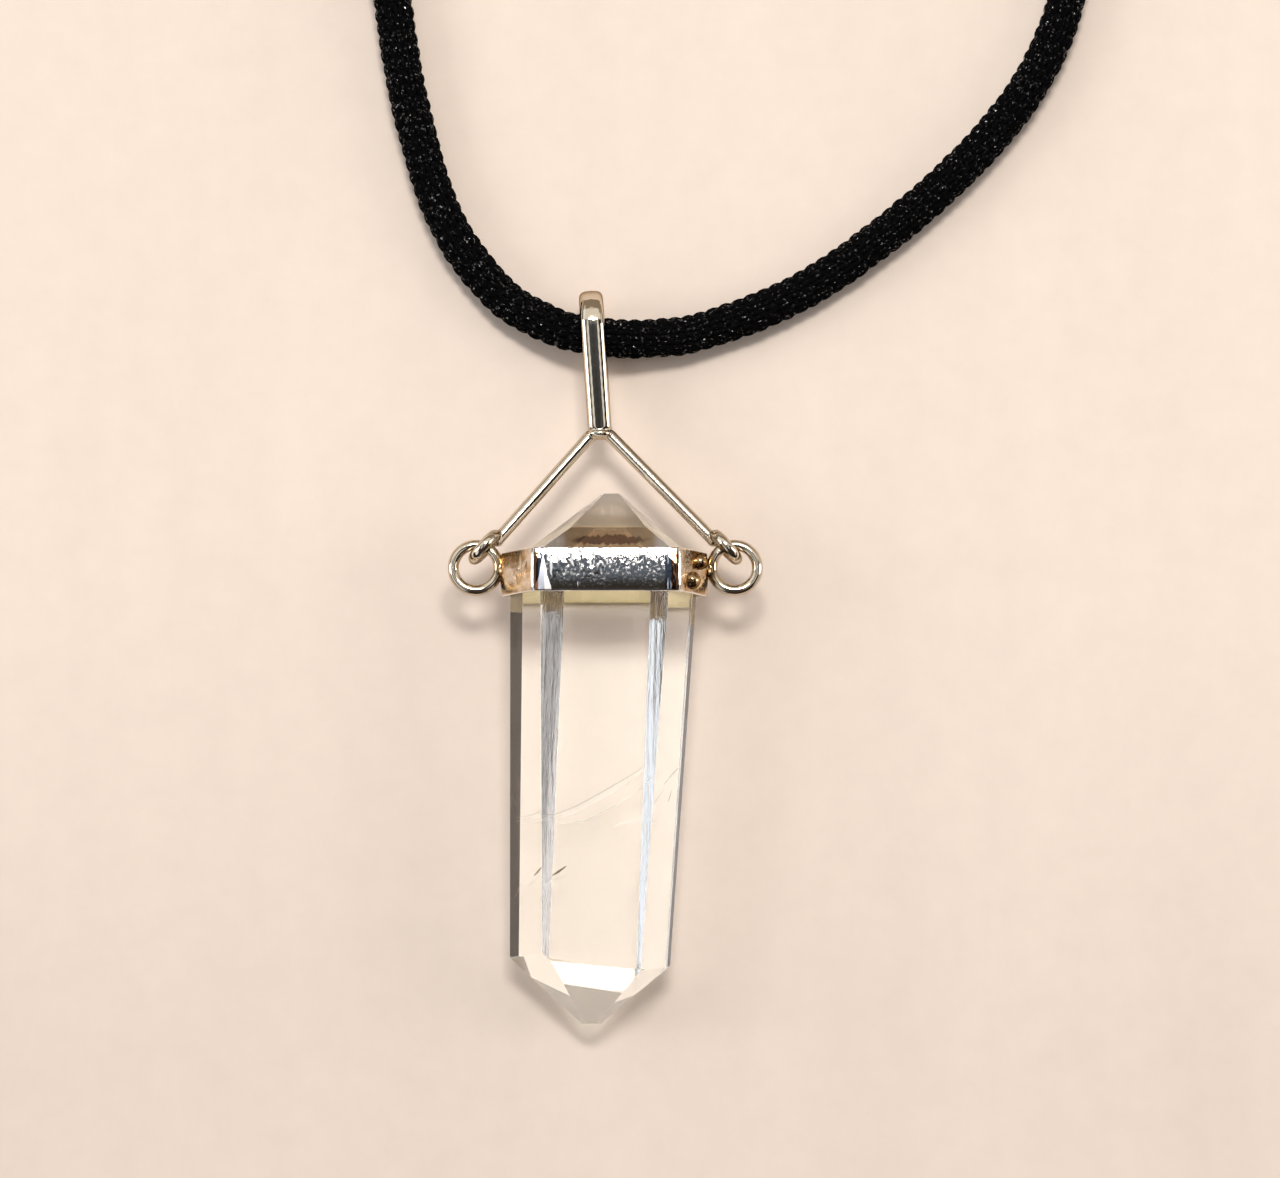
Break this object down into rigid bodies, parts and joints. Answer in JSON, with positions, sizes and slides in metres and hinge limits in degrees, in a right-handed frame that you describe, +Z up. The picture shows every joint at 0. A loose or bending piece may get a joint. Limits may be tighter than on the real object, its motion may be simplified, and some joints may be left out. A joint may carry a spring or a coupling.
{
  "type": "quartz crystal necklace",
  "caption": "Double-ended quartz crystal pendant in a silver strap with side rings, a wire yoke and a bail, on a black knitted cord loop with a barrel clasp.",
  "frame": {"origin": "on the surface that the necklace lies on, under the middle of the pendant, measured without the cord and its clasp", "axes": "+Y along the pendant from its free point towards the bail and the cord, +Z up from the surface"},
  "size_m": [0.0692, 0.2308, 0.0117],
  "materials": {
    "quartz": "clear rock crystal, ground facets, with a fine inner veil",
    "cap_silver": "worn silver, frosted by fine scratches, brighter along its edges",
    "wire_silver": "polished silver wire with darkened seams",
    "cord_satin": "black satin yarn knitted in fine stitches",
    "clasp_silver": "satin silver"
  },
  "bodies": {
    "root": {"crystal": "quartz", "cap": "cap_silver", "yoke": "wire_silver", "cord": "cord_satin", "clasp": "clasp_silver"}
  },
  "joints": []
}
